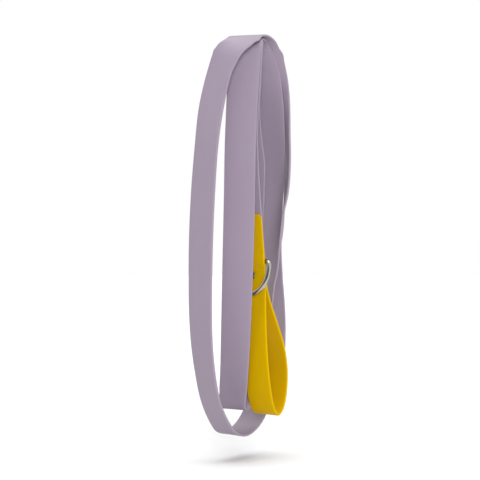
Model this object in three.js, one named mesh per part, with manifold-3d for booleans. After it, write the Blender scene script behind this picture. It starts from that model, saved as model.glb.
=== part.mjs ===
// A flat coated-webbing lead hung in three passes over a peg, with a riveted handle loop, a D-ring
// and a swivel bolt snap. Millimetres, +Z up, +X along the peg, +Y away from the viewer.
// The origin is on the axis of the peg that carries the three passes.
import * as THREE from 'three';
import Module from 'manifold-3d';

const wasm = await Module();
wasm.setup();

// Webbing
const STRAP_WIDTH = 25;
const STRAP_THICKNESS = 1.7;
const STRAP_EDGE = 0.45;
// Radius of the two inner passes over the peg, to mid-thickness
const PASS_RADIUS = [11.5, 13.5];
// The outermost pass comes up twisted and settles on the others on its way over
const OUTER_RADIUS = [17.4, 15.95, 15.75, 15.6, 15.5];
// D-ring
const RING_WIRE = 3.5;
const RING_BAR = [9.75, -9.0, -164.0];
const RING_TURN = 38;
const RING_LEAN = 16;
// Rivets: shank through the layers, flat foot behind, domed cap in front
const RIVET_SHANK = 3.0;
const RIVET_FOOT = 8.0;
const RIVET_CAP = 7.6;
const RIVET_HOLE = 3.5;
// Snap hook
const EYE_AXIS = [21.0, 24.6, -226.0];
const EYE_TURN = 66;
const EYE_WIRE = 3.6;
const BOLT_OFFSET = 6.5;
const BOLT_DIAMETER = 4.0;
const HOOK_BAR = 4.8;

const RAD = Math.PI / 180;

// ---------------------------------------------------------------- materials
const finish = (color, roughness, metalness) => new THREE.MeshStandardMaterial({ color, roughness, metalness });
const LILAC = finish('#a597ab', 0.55, 0.0);
const YELLOW = finish('#d2aa04', 0.5, 0.0);
const NICKEL = finish('#b9b8b4', 0.25, 1.0);
const SPRING = finish('#8f9194', 0.35, 1.0);

const group = new THREE.Group();
group.name = 'coated_webbing_lead';

function place(name, geometry, material) {
  const mesh = new THREE.Mesh(geometry, material.clone());
  mesh.name = name;
  group.add(mesh);
}

// ---------------------------------------------------------------- joining and cutting
function solidOf(geometry) {
  const plain = geometry.index ? geometry.toNonIndexed() : geometry;
  const place3 = plain.getAttribute('position');
  const seen = new Map();
  const corners = [];
  const triangles = [];
  for (let i = 0; i < place3.count; i += 3) {
    const face = [0, 1, 2].map((k) => {
      const p = [place3.getX(i + k), place3.getY(i + k), place3.getZ(i + k)];
      const key = p.map((v) => Math.round(v * 1e4)).join(',');
      if (!seen.has(key)) {
        seen.set(key, corners.length / 3);
        corners.push(...p);
      }
      return seen.get(key);
    });
    if (face[0] !== face[1] && face[1] !== face[2] && face[0] !== face[2]) triangles.push(...face);
  }
  return new wasm.Manifold(new wasm.Mesh({
    numProp: 3,
    vertProperties: new Float32Array(corners),
    triVerts: new Uint32Array(triangles),
  }));
}

function geometryOf(solid) {
  const mesh = solid.getMesh();
  const geometry = new THREE.BufferGeometry();
  geometry.setAttribute('position', new THREE.BufferAttribute(new Float32Array(mesh.vertProperties), 3));
  geometry.setIndex(new THREE.BufferAttribute(new Uint32Array(mesh.triVerts), 1));
  geometry.computeVertexNormals();
  return geometry;
}

function cut(geometry, ...tools) {
  return geometryOf(tools.reduce((solid, tool) => solid.subtract(solidOf(tool)), solidOf(geometry)));
}

function join(...geometries) {
  return geometryOf(geometries.map(solidOf).reduce((whole, next) => whole.add(next)));
}

// ---------------------------------------------------------------- sweeping
// A skin over rings of equal point count, closed by a fan at each end.
function loft(rings) {
  const count = rings[0].length;
  const corners = rings.flat().flatMap((p) => [p.x, p.y, p.z]);
  const index = [];
  for (let i = 0; i + 1 < rings.length; i += 1) {
    for (let k = 0; k < count; k += 1) {
      const a = i * count + k;
      const b = i * count + ((k + 1) % count);
      index.push(a, b, b + count, a, b + count, a + count);
    }
  }
  const last = (rings.length - 1) * count;
  for (let k = 1; k + 1 < count; k += 1) {
    index.push(0, k + 1, k, last, last + k, last + k + 1);
  }
  const geometry = new THREE.BufferGeometry();
  geometry.setAttribute('position', new THREE.BufferAttribute(new Float32Array(corners), 3));
  geometry.setIndex(index);
  return geometry;
}

// Frames along a strap route: each route point is [x, y, z, turn, rise]. In degrees, turn swings the
// strap's right-hand edge towards the viewer. A rise is given only where the strap lies on the peg: it
// lifts the edge, and the section is then taken along the peg even if the strap runs at a slant.
function strapFrames(route) {
  const points = route.map(([x, y, z]) => new THREE.Vector3(x, y, z));
  return points.map((at, i) => {
    const before = points[Math.max(i - 1, 0)];
    const after = points[Math.min(i + 1, points.length - 1)];
    const along = after.clone().sub(before).normalize();
    const turn = route[i][3] * RAD;
    const rise = (route[i][4] ?? 0) * RAD;
    const across = new THREE.Vector3(
      Math.cos(turn) * Math.cos(rise), -Math.sin(turn) * Math.cos(rise), Math.sin(rise),
    );
    if (route[i].length < 5) across.addScaledVector(along, -across.dot(along)).normalize();
    const out = along.clone().cross(across).normalize();
    across.divideScalar(Math.sqrt(1 - across.dot(along) ** 2));
    return { at, along, across, out };
  });
}

// The strap's section: a flat bar with broken edges, given as [across, out] pairs.
function strapSection(width) {
  const w = width / 2;
  const t = STRAP_THICKNESS / 2;
  const e = Math.min(STRAP_EDGE, w / 2);
  return [[-w, -t + e], [-w + e, -t], [w - e, -t], [w, -t + e], [w, t - e], [w - e, t], [-w + e, t], [-w, t - e]];
}

function strapRing({ at, across, out }, width) {
  return strapSection(width).map(([a, b]) => at.clone().addScaledVector(across, a).addScaledVector(out, b));
}

function strap(route, widths = () => STRAP_WIDTH) {
  return loft(strapFrames(route).map((frame, i) => strapRing(frame, widths(i))));
}

// A round bar through the points of a curve.
function bar(points, diameter, sides = 12) {
  const path = new THREE.CatmullRomCurve3(points.map((p) => new THREE.Vector3(...p)));
  const steps = (points.length - 1) * 3;
  const frames = path.computeFrenetFrames(steps, false);
  const rings = [];
  for (let i = 0; i <= steps; i += 1) {
    const at = path.getPointAt(i / steps);
    rings.push(Array.from({ length: sides }, (_, k) => {
      const turn = (2 * Math.PI * k) / sides;
      return at.clone()
        .addScaledVector(frames.normals[i], (Math.cos(turn) * diameter) / 2)
        .addScaledVector(frames.binormals[i], (Math.sin(turn) * diameter) / 2);
    }));
  }
  return loft(rings);
}

function rod(diameter, from, to, sides = 20) {
  return new THREE.CylinderGeometry(diameter / 2, diameter / 2, Math.abs(to - from), sides)
    .rotateX(Math.PI / 2)
    .translate(0, 0, (from + to) / 2);
}

// ---------------------------------------------------------------- the strap's route
// One pass over the peg, from the viewer's side to the far side, in eighths of the half turn. Each
// lift is how far the strap's right-hand edge stands away from the peg there, in degrees.
function over(radii, xs, lifts) {
  const eighths = Array.from({ length: 9 }, (_, i) => i / 8);
  const blend = (list, s) => {
    const at = Math.min(Math.floor(s * (list.length - 1)), list.length - 2);
    const part = s * (list.length - 1) - at;
    return list[at] + (list[at + 1] - list[at]) * part;
  };
  return eighths.map((s) => {
    const round = s * Math.PI;
    const lift = blend(lifts, s) * RAD;
    const radius = blend(radii, s);
    return [
      blend(xs, s), -radius * Math.cos(round), radius * Math.sin(round),
      Math.atan2(Math.sin(lift) * Math.cos(round), Math.cos(lift)) / RAD,
      Math.asin(Math.sin(lift) * Math.sin(round)) / RAD,
    ];
  });
}

const FROM_HANDLE = [
  [9.3, -9, -157, 37], [8.6, -9, -147.5, 37], [7.6, -9, -134, 37], [6.93, -9, -125, 37],
  [6.1, -9, -114, 36], [4.4, -9, -88, 35], [3.4, -9.3, -62, 31], [3.6, -10, -38, 20], [4.6, -11.3, -14, 5],
];
const DOWN_BEHIND = [
  [5.0, 11.8, -14, 6], [4.8, 12.8, -38, 24], [7, 13, -64, 33], [9.9, 13, -86, 36], [9.7, 13, -106, 36],
  [8.6, 13.4, -130, 37], [6.8, 14.4, -160, 38], [3.4, 15, -190, 39], [0, 13.6, -217, 40],
  [-1.4, 11, -240, 40], [-2.2, 8.6, -258, 40], [-2.4, 7, -273, 37],
];
const TIGHT_BEND = [
  [-2.2, 4.6, -278.5, 35], [-2.8, 3.7, -281, 35], [-4.2, 1.6, -282.1, 35], [-5.6, -0.5, -281, 35],
  [-6.3, -1.8, -278, 35],
];
const UP_MIDDLE = [
  [-5.8, -4.4, -271, 34], [-4.7, -12, -254, 30], [-3.4, -22, -221, 24], [-2.3, -28, -186, 19],
  [-1.3, -29, -151, 15], [-0.4, -27, -110, 14], [0.2, -23.5, -74, 13], [1.6, -18.5, -38, 10],
  [2.8, -14.6, -14, 3],
];
const DOWN_FAR = [
  [19.4, 15.4, -12, 8], [22.5, 16, -29, 20], [24.4, 18, -42, 27], [25.8, 22.5, -66, 33],
  [26.0, 27.3, -86, 34], [25.2, 34, -107, 35], [24.5, 37.6, -126, 35], [23.8, 42, -155, 35],
  [25.2, 45.5, -179, 36], [26.8, 48, -199, 36], [27.8, 50, -222, 37], [26.9, 49, -243, 38],
  [22.3, 47.5, -264, 40], [14.6, 38, -284, 42], [6.2, 21.5, -297.3, 43],
];
const WIDE_BEND = [[-4, 2, -302.4, 45]];
const UP_LEFT = [
  [-11.4, -10, -298.4, 48], [-18, -18, -287, 51], [-23.3, -25, -272, 52], [-27, -31, -252, 51],
  [-29.6, -36, -228, 48], [-30.6, -38.5, -203, 45], [-30.6, -39, -170, 43], [-30, -38, -140, 42],
  [-28.5, -36, -107, 42], [-26, -32, -73, 43], [-22.2, -25, -42, 38], [-15.8, -18.8, -14, 37],
];
const DOWN_TO_HOOK = [
  [25.4, 16.8, -12, 10], [31.0, 19.0, -35, 42], [35.6, 20.0, -58, 68], [38.6, 18.8, -84, 82],
  [37.6, 15.3, -109, 86], [35.4, 15.6, -125, 92], [33.9, 15.6, -140, 94], [31.9, 16.4, -155, 91],
  [29.2, 18.0, -170, 84], [25.0, 20.6, -184, 76],
  [22.6, 22.8, -194, 70], [21.2, 24.3, -200.5, 66.5], [21.0, 24.6, -203.5, 66], [21.0, 24.6, -219, 66],
];
const STRAP_ROUTE = [
  ...FROM_HANDLE,
  ...over([PASS_RADIUS[0], PASS_RADIUS[0]], [5.2, 5.9, 6.6, 6.3, 5.6], [0, 0, 0, 0, 0]),
  ...DOWN_BEHIND,
  ...TIGHT_BEND,
  ...UP_MIDDLE,
  ...over([PASS_RADIUS[1], PASS_RADIUS[1]], [3.6, 4.9, 6.8, 10.0, 14.8], [0, 0, 0, 0, 0]),
  ...DOWN_FAR,
  ...WIDE_BEND,
  ...UP_LEFT,
  ...over(OUTER_RADIUS, [-9.65, 1.3, 7.8, 15.6, 22.2], [28, 4, 2, 0, 0]),
  ...DOWN_TO_HOOK,
];

// The handle: down the viewer's side, round the loop, and back up behind; both ends hold the lead.
const HANDLE_ROUTE = [
  [6.78, -11.44, -127, 37], [6.89, -11.44, -128.5, 37], [7.15, -11.44, -132, 37],
  [7.96, -11.44, -143, 37], [8.85, -11.5, -155, 37], [9.35, -12.48, -164, 38],
  [9.85, -10.15, -170.4, 38], [10.35, -10.15, -179, 38], [10.7, -13, -195, 40],
  [11.4, -16.3, -220, 42], [12.7, -18, -244, 42], [14.6, -17, -262, 42], [16.8, -14, -275, 42],
  [19, -11, -282, 42], [21.6, -7.7, -285, 42], [24.4, -4.4, -282, 42], [26.7, -1.3, -275, 42],
  [28.3, 1.3, -262, 42], [28.3, 1.6, -248, 42], [25.8, -1, -231, 42], [21.2, -4.2, -216, 41],
  [14.8, -6.2, -197, 40], [10.5, -7.8, -179, 38], [10.0, -7.77, -170.4, 38], [9.86, -5.27, -164, 38],
  [9.15, -6.5, -155, 37], [8.26, -6.56, -143, 37], [7.45, -6.56, -132, 37],
  [7.19, -6.56, -128.5, 37], [7.08, -6.56, -127, 37],
];

// The yellow piece at the far end, folded round the bar of the swivel eye with the lead's end inside it.
const TAB_TOP = -203.5;
const TAB_LAYER = 1.95;
const TAB_BEND = 3.0;

function tabRoute() {
  const beside = (z, offset) => {
    const turn = EYE_TURN * RAD;
    return [EYE_AXIS[0] + Math.sin(turn) * offset, EYE_AXIS[1] + Math.cos(turn) * offset, z, EYE_TURN];
  };
  const heights = [TAB_TOP, TAB_TOP - 1.5, TAB_TOP - 4, -212, -219.5];
  const bend = [0, 30, 60, 90, 120, 150, 180].map((a) => (
    beside(EYE_AXIS[2] - TAB_BEND * Math.sin(a * RAD), -TAB_BEND * Math.cos(a * RAD))
  ));
  return [
    ...heights.map((z) => beside(z, -TAB_LAYER)),
    ...bend,
    ...heights.map((z) => beside(z, TAB_LAYER)).reverse(),
  ];
}

// ---------------------------------------------------------------- rivets
const vector = (list) => new THREE.Vector3(...list);

// A frame with X across the strap, Y out of its far face and Z up.
function frameAt(at, turn) {
  const across = new THREE.Vector3(Math.cos(turn * RAD), -Math.sin(turn * RAD), 0);
  const away = new THREE.Vector3(Math.sin(turn * RAD), Math.cos(turn * RAD), 0);
  return new THREE.Matrix4().makeBasis(across, away, new THREE.Vector3(0, 0, 1)).setPosition(at);
}

// front and back are the strap faces' distances from the rivet's centre, towards and away from the viewer.
const RIVETS = [
  { name: 'handle_rivet_upper', at: [7.78, -9, -136.5], turn: 37, front: 3.05, back: 2.85 },
  { name: 'handle_rivet_middle', at: [8.63, -9, -148], turn: 37, front: 3.1, back: 3.05 },
  { name: 'handle_rivet_lower', at: [10.17, -8.97, -175], turn: 38, front: 1.95, back: 1.95 },
  { name: 'tab_rivet_upper', at: [EYE_AXIS[0], EYE_AXIS[1], -207.5], turn: EYE_TURN, front: 2.85, back: 2.85 },
  { name: 'tab_rivet_lower', at: [EYE_AXIS[0], EYE_AXIS[1], -215.5], turn: EYE_TURN, front: 2.85, back: 2.85 },
];

function rivetHole(rivet) {
  return rod(RIVET_HOLE, -9, 9, 16).rotateX(Math.PI / 2).applyMatrix4(frameAt(vector(rivet.at), rivet.turn));
}

function turned(profile, sides = 20) {
  return new THREE.LatheGeometry(profile.map(([r, h]) => new THREE.Vector2(r, h)), sides);
}

// The post: a flat foot behind the strap and a shank that ends inside the cap.
function rivetPost(rivet) {
  const foot = RIVET_FOOT / 2;
  const shank = RIVET_SHANK / 2;
  const face = rivet.back + 0.1;
  return turned([
    [0, -rivet.front - 0.75], [shank, -rivet.front - 0.75], [shank, face], [foot - 0.3, face],
    [foot, face + 0.35], [foot - 0.8, face + 0.9], [0, face + 0.9],
  ]).applyMatrix4(frameAt(vector(rivet.at), rivet.turn));
}

// The cap: a dome in front of the strap, hollow over the end of the shank.
function rivetCap(rivet) {
  const rim = RIVET_CAP / 2;
  const bore = RIVET_SHANK / 2 + 0.12;
  const face = -rivet.front - 0.1;
  return turned([
    [0, face - 1.75], [1.6, face - 1.6], [2.9, face - 1.15], [rim, face - 0.4], [rim - 0.2, face],
    [bore, face], [bore, face - 0.85], [0, face - 0.85],
  ]).applyMatrix4(frameAt(vector(rivet.at), rivet.turn));
}

const HANDLE_RIVETS = RIVETS.slice(0, 3);
const TAB_RIVETS = RIVETS.slice(3);

// ---------------------------------------------------------------- webbing pieces
place('main_strap', cut(
  strap(STRAP_ROUTE),
  ...HANDLE_RIVETS.slice(0, 2).map(rivetHole),
  ...TAB_RIVETS.map(rivetHole),
), LILAC);

const handleWidth = (i) => {
  const fromEnd = Math.min(i, HANDLE_ROUTE.length - 1 - i);
  return [15, 20, 24.6][fromEnd] ?? STRAP_WIDTH;
};
place('handle_strap', cut(strap(HANDLE_ROUTE, handleWidth), ...HANDLE_RIVETS.map(rivetHole)), YELLOW);

const TAB_ROUTE = tabRoute();
const tabWidth = (i) => [15, 20, 24.6][Math.min(i, TAB_ROUTE.length - 1 - i)] ?? STRAP_WIDTH;
place('hook_end_strap', cut(strap(TAB_ROUTE, tabWidth), ...TAB_RIVETS.map(rivetHole)), YELLOW);

RIVETS.forEach((rivet) => {
  place(`${rivet.name}_post`, rivetPost(rivet), NICKEL);
  place(`${rivet.name}_cap`, rivetCap(rivet), NICKEL);
});

// ---------------------------------------------------------------- D-ring
// Half of the ring's centreline in its own plane, [across, down], from the middle of the bar.
const RING_HALF = [
  [0, 0], [7, 0], [13.8, 0], [16.2, 1.3], [17.2, 4.4], [17.3, 10], [16.6, 15.4], [13.9, 21.2], [8, 25.7],
];
const RING_FOOT = [0, 27.3];

function ring() {
  const loop = [
    ...RING_HALF,
    RING_FOOT,
    ...RING_HALF.slice(1).reverse().map(([across, down]) => [-across, down]),
  ].map(([across, down]) => new THREE.Vector3(across, 0, -down));
  const path = new THREE.CatmullRomCurve3(loop, true, 'centripetal');
  return new THREE.TubeGeometry(path, 76, RING_WIRE / 2, 12, true)
    .rotateX(-RING_LEAN * RAD)
    .applyMatrix4(frameAt(vector(RING_BAR), RING_TURN));
}
place('d_ring', ring(), NICKEL);

// ---------------------------------------------------------------- snap hook
// Heights below are measured from the axis of the eye's upper bar.
const EYE_HALF_WIDTH = 14.8;
const EYE_DROP = 10;
const BOSS = [-6.6, -13.6];
const STEM_HEAD = [-4.7, -6.2];
const SHOULDER = [-14.0, -19.0];
const BARREL = [-14.0, -33.0];
const BORE_TOP = -16.0;
const HOOK_BEND = -43.0;
const HOOK_TIP = -40.4;
const BOLT = [-26.0, -40.1];
const KNOB_HEIGHT = -29.0;

const seated = (geometry) => geometry.applyMatrix4(frameAt(vector(EYE_AXIS), EYE_TURN));
// The hook hangs with its thumb knob on the side away from the handle.
const hung = (geometry) => geometry.applyMatrix4(frameAt(vector(EYE_AXIS), EYE_TURN + 180));

function swivelEye() {
  const w = EYE_HALF_WIDTH;
  const d = -EYE_DROP;
  const loop = [
    [0, 0], [w - 3, 0], [w - 0.8, -0.8], [w, -3], [w, d + 3], [w - 0.8, d + 0.8], [w - 3, d], [0, d],
    [3 - w, d], [0.8 - w, d + 0.8], [-w, d + 3], [-w, -3], [0.8 - w, -0.8], [3 - w, 0],
  ].map(([x, z]) => new THREE.Vector3(x, 0, z));
  const path = new THREE.CatmullRomCurve3(loop, true, 'centripetal');
  const frame = new THREE.TubeGeometry(path, 64, EYE_WIRE / 2, 12, true);
  return seated(cut(join(frame, rod(9, ...BOSS, 24)), rod(4.8, -2, -20, 24)));
}
place('swivel_eye', swivelEye(), NICKEL);

function hookBody() {
  const b = BOLT_OFFSET;
  const stem = join(rod(7, ...STEM_HEAD, 24), rod(4.4, STEM_HEAD[0] - 0.5, SHOULDER[0] - 2, 20));
  const shoulder = new THREE.CapsuleGeometry(2.9, 2 * b, 5, 16)
    .rotateZ(Math.PI / 2)
    .translate(0, 0, (SHOULDER[0] + SHOULDER[1]) / 2 - 0.4);
  const barrel = rod(8, ...BARREL, 24).translate(b, 0, 0);
  const arc = Array.from({ length: 9 }, (_, i) => {
    const a = (i / 8) * Math.PI;
    return [-b * Math.cos(a), 0, HOOK_BEND - b * Math.sin(a)];
  });
  const arm = bar([[-b, 0, SHOULDER[0] - 3], [-b, 0, -30], [-b, 0, -38], ...arc, [b, 0, HOOK_TIP]], HOOK_BAR);
  const bore = rod(4.5, BORE_TOP, -36, 24).translate(b, 0, 0);
  const slot = new THREE.BoxGeometry(6, 3, 8.6).translate(b + 3.2, 0, -26.5);
  const seat = rod(3, HOOK_TIP + 1, HOOK_TIP - 0.6, 16).translate(b, 0, 0);
  return hung(cut(join(stem, shoulder, barrel, arm), bore, slot, seat));
}
place('hook_body', hookBody(), NICKEL);

function slideBolt() {
  const b = BOLT_OFFSET;
  const pin = turned([
    [0, BOLT[1]], [BOLT_DIAMETER / 2 - 0.5, BOLT[1]], [BOLT_DIAMETER / 2, BOLT[1] + 0.5],
    [BOLT_DIAMETER / 2, BOLT[0]], [0, BOLT[0]],
  ], 24).rotateX(Math.PI / 2).translate(b, 0, 0);
  const socket = rod(2.6, -2, 2, 16).rotateY(Math.PI / 2).translate(b + 2.7, 0, KNOB_HEIGHT);
  return hung(cut(pin, socket));
}
place('slide_bolt', slideBolt(), NICKEL);

function thumbKnob() {
  const knob = turned([
    [0, 0.85], [1.2, 0.85], [1.2, 4.7], [2.5, 4.7], [2.8, 5.1], [2.8, 6.0], [2.3, 6.5], [0, 6.5],
  ], 20).rotateZ(-Math.PI / 2).translate(BOLT_OFFSET, 0, KNOB_HEIGHT);
  return hung(knob);
}
place('thumb_knob', thumbKnob(), NICKEL);

function boltSpring() {
  const turns = 5.5;
  const steps = 60;
  const coil = 1.55;
  const wire = 0.26;
  const [top, bottom] = [BORE_TOP - 0.45, BOLT[0] + 0.45];
  const rings = Array.from({ length: steps + 1 }, (_, i) => {
    const a = (i / steps) * turns * 2 * Math.PI;
    const height = top + (bottom - top) * (i / steps);
    return Array.from({ length: 6 }, (__, k) => {
      const c = (-k / 6) * 2 * Math.PI;
      const r = coil + wire * Math.cos(c);
      return new THREE.Vector3(BOLT_OFFSET + r * Math.cos(a), r * Math.sin(a), height + wire * Math.sin(c));
    });
  });
  return hung(loft(rings));
}
place('bolt_spring', boltSpring(), SPRING);

export default group;
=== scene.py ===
"""A flat coated-webbing dog lead hung in three passes over a peg.

The lead is 25 mm polyester webbing with a satin plastic skin. A lilac strap carries a yellow handle
loop, riveted on with a D-ring in its neck, and ends in a yellow tab that holds a swivel bolt snap.
Metres, with +X along the peg, +Y away from the viewer, +Z up and the origin on the peg's axis.
"""

import logging
import math
from collections.abc import Sequence
from dataclasses import dataclass, field
from enum import Enum

import bmesh
import bpy
import numpy as np
from bpy.types import Material, Mesh, Node, NodeSocket, NodeTree, Object
from mathutils import Matrix, Vector


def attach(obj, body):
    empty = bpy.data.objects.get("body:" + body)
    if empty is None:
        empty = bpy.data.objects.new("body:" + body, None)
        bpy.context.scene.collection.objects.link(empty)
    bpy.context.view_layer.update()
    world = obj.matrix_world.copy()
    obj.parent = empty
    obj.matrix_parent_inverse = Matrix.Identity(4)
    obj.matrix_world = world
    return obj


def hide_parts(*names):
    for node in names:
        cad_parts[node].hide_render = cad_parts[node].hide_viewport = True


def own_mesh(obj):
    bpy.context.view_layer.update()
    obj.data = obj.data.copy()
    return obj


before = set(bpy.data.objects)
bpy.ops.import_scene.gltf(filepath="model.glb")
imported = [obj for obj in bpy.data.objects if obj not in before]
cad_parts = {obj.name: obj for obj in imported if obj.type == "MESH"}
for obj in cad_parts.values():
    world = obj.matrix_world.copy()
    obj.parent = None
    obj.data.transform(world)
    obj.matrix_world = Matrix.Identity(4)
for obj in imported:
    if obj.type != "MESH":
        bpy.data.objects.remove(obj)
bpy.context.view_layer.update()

log = logging.getLogger("lead")

Station = tuple[float, ...]
Profile = Sequence[tuple[float, float]]

MM = 0.001
SURFACE_MAP = "surface"

# ---------------------------------------------------------------- the strap's route
# Each station is x, y, z and the angle in degrees by which the strap's right-hand edge is swung
# towards the viewer. On the peg two more follow: the angle by which that edge is lifted, and 1 for a
# section taken along the peg instead of square to the run.
PASS_RADIUS = (0.0115, 0.0135)
OUTER_RADIUS = (0.0174, 0.01595, 0.01575, 0.0156, 0.0155)

FROM_HANDLE = [
    (0.0093, -0.009, -0.157, 37), (0.0086, -0.009, -0.1475, 37), (0.0076, -0.009, -0.134, 37),
    (0.00693, -0.009, -0.125, 37), (0.0061, -0.009, -0.114, 36), (0.0044, -0.009, -0.088, 35),
    (0.0034, -0.0093, -0.062, 31), (0.0036, -0.01, -0.038, 20), (0.0046, -0.0113, -0.014, 5),
]
DOWN_BEHIND = [
    (0.005, 0.0118, -0.014, 6), (0.0048, 0.0128, -0.038, 24), (0.007, 0.013, -0.064, 33),
    (0.0099, 0.013, -0.086, 36), (0.0097, 0.013, -0.106, 36), (0.0086, 0.0134, -0.13, 37),
    (0.0068, 0.0144, -0.16, 38), (0.0034, 0.015, -0.19, 39), (0, 0.0136, -0.217, 40),
    (-0.0014, 0.011, -0.24, 40), (-0.0022, 0.0086, -0.258, 40), (-0.0024, 0.007, -0.273, 37),
]
TIGHT_BEND = [
    (-0.0022, 0.0046, -0.2785, 35), (-0.0028, 0.0037, -0.281, 35), (-0.0042, 0.0016, -0.2821, 35),
    (-0.0056, -0.0005, -0.281, 35), (-0.0063, -0.0018, -0.278, 35),
]
UP_MIDDLE = [
    (-0.0058, -0.0044, -0.271, 34), (-0.0047, -0.012, -0.254, 30), (-0.0034, -0.022, -0.221, 24),
    (-0.0023, -0.028, -0.186, 19), (-0.0013, -0.029, -0.151, 15), (-0.0004, -0.027, -0.11, 14),
    (0.0002, -0.0235, -0.074, 13), (0.0016, -0.0185, -0.038, 10), (0.0028, -0.0146, -0.014, 3),
]
DOWN_FAR = [
    (0.0194, 0.0154, -0.012, 8), (0.0225, 0.016, -0.029, 20), (0.0244, 0.018, -0.042, 27),
    (0.0258, 0.0225, -0.066, 33), (0.026, 0.0273, -0.086, 34), (0.0252, 0.034, -0.107, 35),
    (0.0245, 0.0376, -0.126, 35), (0.0238, 0.042, -0.155, 35), (0.0252, 0.0455, -0.179, 36),
    (0.0268, 0.048, -0.199, 36), (0.0278, 0.05, -0.222, 37), (0.0269, 0.049, -0.243, 38),
    (0.0223, 0.0475, -0.264, 40), (0.0146, 0.038, -0.284, 42), (0.0062, 0.0215, -0.2973, 43),
]
WIDE_BEND = [(-0.004, 0.002, -0.3024, 45)]
UP_LEFT = [
    (-0.0114, -0.01, -0.2984, 48), (-0.018, -0.018, -0.287, 51), (-0.0233, -0.025, -0.272, 52),
    (-0.027, -0.031, -0.252, 51), (-0.0296, -0.036, -0.228, 48), (-0.0306, -0.0385, -0.203, 45),
    (-0.0306, -0.039, -0.17, 43), (-0.03, -0.038, -0.14, 42), (-0.0285, -0.036, -0.107, 42),
    (-0.026, -0.032, -0.073, 43), (-0.0222, -0.025, -0.042, 38), (-0.0158, -0.0188, -0.014, 37),
]
DOWN_TO_HOOK = [
    (0.0254, 0.0168, -0.012, 10), (0.031, 0.019, -0.035, 42), (0.0356, 0.02, -0.058, 68),
    (0.0386, 0.0188, -0.084, 82), (0.0376, 0.0153, -0.109, 86), (0.0354, 0.0156, -0.125, 92),
    (0.0339, 0.0156, -0.14, 94), (0.0319, 0.0164, -0.155, 91), (0.0292, 0.018, -0.17, 84),
    (0.025, 0.0206, -0.184, 76), (0.0226, 0.0228, -0.194, 70), (0.0212, 0.0243, -0.2005, 66.5),
    (0.021, 0.0246, -0.2035, 66), (0.021, 0.0246, -0.219, 66),
]
# The handle goes down the viewer's side, round its loop and back up behind.
HANDLE_ROUTE = [
    (0.00678, -0.01144, -0.127, 37), (0.00689, -0.01144, -0.1285, 37), (0.00715, -0.01144, -0.132, 37),
    (0.00796, -0.01144, -0.143, 37), (0.00885, -0.0115, -0.155, 37), (0.00935, -0.01248, -0.164, 38),
    (0.00985, -0.01015, -0.1704, 38), (0.01035, -0.01015, -0.179, 38), (0.0107, -0.013, -0.195, 40),
    (0.0114, -0.0163, -0.22, 42), (0.0127, -0.018, -0.244, 42), (0.0146, -0.017, -0.262, 42),
    (0.0168, -0.014, -0.275, 42), (0.019, -0.011, -0.282, 42), (0.0216, -0.0077, -0.285, 42),
    (0.0244, -0.0044, -0.282, 42), (0.0267, -0.0013, -0.275, 42), (0.0283, 0.0013, -0.262, 42),
    (0.0283, 0.0016, -0.248, 42), (0.0258, -0.001, -0.231, 42), (0.0212, -0.0042, -0.216, 41),
    (0.0148, -0.0062, -0.197, 40), (0.0105, -0.0078, -0.179, 38), (0.01, -0.00777, -0.1704, 38),
    (0.00986, -0.00527, -0.164, 38), (0.00915, -0.0065, -0.155, 37), (0.00826, -0.00656, -0.143, 37),
    (0.00745, -0.00656, -0.132, 37), (0.00719, -0.00656, -0.1285, 37), (0.00708, -0.00656, -0.127, 37),
]
EYE_AXIS = (0.021, 0.0246, -0.226)
EYE_TURN = 66.0


def over(radii: Sequence[float], xs: Sequence[float], lifts: Sequence[float]) -> list[Station]:
    """Takes the strap over the peg, from the viewer's side to the far side, in eighths of a half turn.

    Args:
        radii: From the peg's axis to the middle of the strap's thickness, evenly spaced round the turn.
        xs: Places along the peg, evenly spaced as well.
        lifts: How far the right-hand edge stands away from the peg at the same places, in degrees.

    Returns:
        Nine stations.
    """
    knots = np.linspace(0, 1, len(xs))
    reaches = np.linspace(0, 1, len(radii))
    made = []
    for s in np.arange(9) / 8:
        lift = math.radians(np.interp(s, knots, lifts))
        turn = math.atan2(math.sin(lift) * math.cos(s * math.pi), math.cos(lift))
        rise = math.asin(math.sin(lift) * math.sin(s * math.pi))
        radius = float(np.interp(s, reaches, radii))
        y, z = -radius * math.cos(s * math.pi), radius * math.sin(s * math.pi)
        x = float(np.interp(s, knots, xs))
        made.append((x, y, z, math.degrees(turn), math.degrees(rise), 1.0))
    return made


STRAP_ROUTE = [
    *FROM_HANDLE,
    *over(PASS_RADIUS[:1], (0.0052, 0.0059, 0.0066, 0.0063, 0.0056), (0, 0, 0, 0, 0)),
    *DOWN_BEHIND,
    *TIGHT_BEND,
    *UP_MIDDLE,
    *over(PASS_RADIUS[1:], (0.0036, 0.0049, 0.0068, 0.01, 0.0148), (0, 0, 0, 0, 0)),
    *DOWN_FAR,
    *WIDE_BEND,
    *UP_LEFT,
    *over(OUTER_RADIUS, (-0.00965, 0.0013, 0.0078, 0.0156, 0.0222), (28, 4, 2, 0, 0)),
    *DOWN_TO_HOOK,
]


# ---------------------------------------------------------------- shared mesh and node work
def linear(colour: str) -> tuple[float, float, float, float]:
    """Turns an sRGB hex colour into linear RGBA.

    Args:
        colour: Six hex digits after a hash sign.

    Returns:
        Red, green, blue and alpha.
    """
    parts = [int(colour[i : i + 2], 16) / 255 for i in (1, 3, 5)]
    red, green, blue = (p / 12.92 if p <= 0.04045 else ((p + 0.055) / 1.055) ** 2.4 for p in parts)
    return red, green, blue, 1.0


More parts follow.
